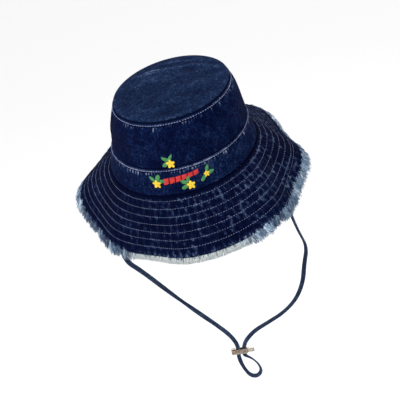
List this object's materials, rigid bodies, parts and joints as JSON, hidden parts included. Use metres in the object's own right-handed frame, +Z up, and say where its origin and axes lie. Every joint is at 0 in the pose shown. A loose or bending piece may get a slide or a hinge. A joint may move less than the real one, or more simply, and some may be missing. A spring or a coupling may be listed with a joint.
{
  "type": "bucket hat",
  "caption": "Soft washed-denim bucket hat with a rounded crown, a stitched downturned brim with a frayed edge, and a hanging chin strap with a sliding lock.",
  "frame": {"origin": "centre of the head opening, in the plane of the crown's bottom seam", "axes": "+Z up out of the crown, -Y the front of the hat, +X the viewer's right when facing the front; the soft crown leans a little to +X and the chin strap hangs down -Z"},
  "size_m": [0.2974, 0.3222, 0.5098],
  "materials": {
    "denim": "washed indigo denim, diagonal twill",
    "lining": "plain cotton",
    "sweatband": "cotton twill tape",
    "frayed_denim": "ragged washed denim edge, pale warp threads",
    "topstitch_thread": "pale lavender-white thread",
    "red_thread": "satin stitch",
    "yellow_thread": "satin stitch",
    "green_thread": "satin stitch",
    "label_cloth": "blank woven label",
    "tab_cloth": "folded cotton tape",
    "strap_denim": "folded denim strip",
    "lock_metal": "polished nickel plate, light scratches",
    "lock_brass": "worn brass edge",
    "spring_steel": "drawn wire"
  },
  "bodies": {
    "hat": {"band_front": "denim", "band_back": "denim", "crown_panel_front": "denim", "crown_panel_back": "denim", "crown_tip": "denim", "brim_upper_front": "denim", "brim_upper_back": "denim", "brim_under_front": "denim", "brim_under_back": "denim", "side_lining_front": "lining", "side_lining_back": "lining", "crown_tip_lining": "lining", "brim_interlining_front": "lining", "brim_interlining_back": "lining", "sweatband": "sweatband", "fringe_upper": "frayed_denim", "fringe_under": "frayed_denim", "brim_stitch_row_1": "topstitch_thread", "brim_stitch_row_2": "topstitch_thread", "brim_stitch_row_3": "topstitch_thread", "brim_stitch_row_4": "topstitch_thread", "brim_stitch_row_5": "topstitch_thread", "brim_stitch_row_6": "topstitch_thread", "brim_stitch_row_7": "topstitch_thread", "tip_topstitch": "topstitch_thread", "band_topstitch": "topstitch_thread", "embroidery_bar": "red_thread", "embroidery_blossoms": "yellow_thread", "embroidery_leaves": "green_thread", "woven_label": "label_cloth", "strap_tab_left": "tab_cloth", "strap_tab_right": "tab_cloth"},
    "chin_strap": {"chin_strap": "strap_denim"},
    "cord_lock": {"cord_lock_barrel": "lock_metal", "cord_lock_end_cap": "lock_brass", "cord_lock_spring": "spring_steel"},
    "lock_plunger": {"cord_lock_plunger": "lock_metal"}
  },
  "joints": [
    {"name": "strap_swing", "type": "hinge", "parent": "hat", "child": "chin_strap", "pos_m": [0, 0, -0.0012], "axis": [1, 0, 0], "range_deg": [-40, 60]},
    {"name": "cord_lock_slide", "type": "slide", "parent": "chin_strap", "child": "cord_lock", "axis": [0.2419, 0, 0.9703], "range_m": [-0.03, 0.1], "deforming": ["chin_strap"]},
    {"name": "plunger_press", "type": "slide", "parent": "cord_lock", "child": "lock_plunger", "axis": [-0.9703, 0, 0.2419], "range_m": [0, 0.0018], "stiffness_N_per_m": 800, "springref_m": -0.001, "deforming": ["cord_lock_spring"]}
  ]
}
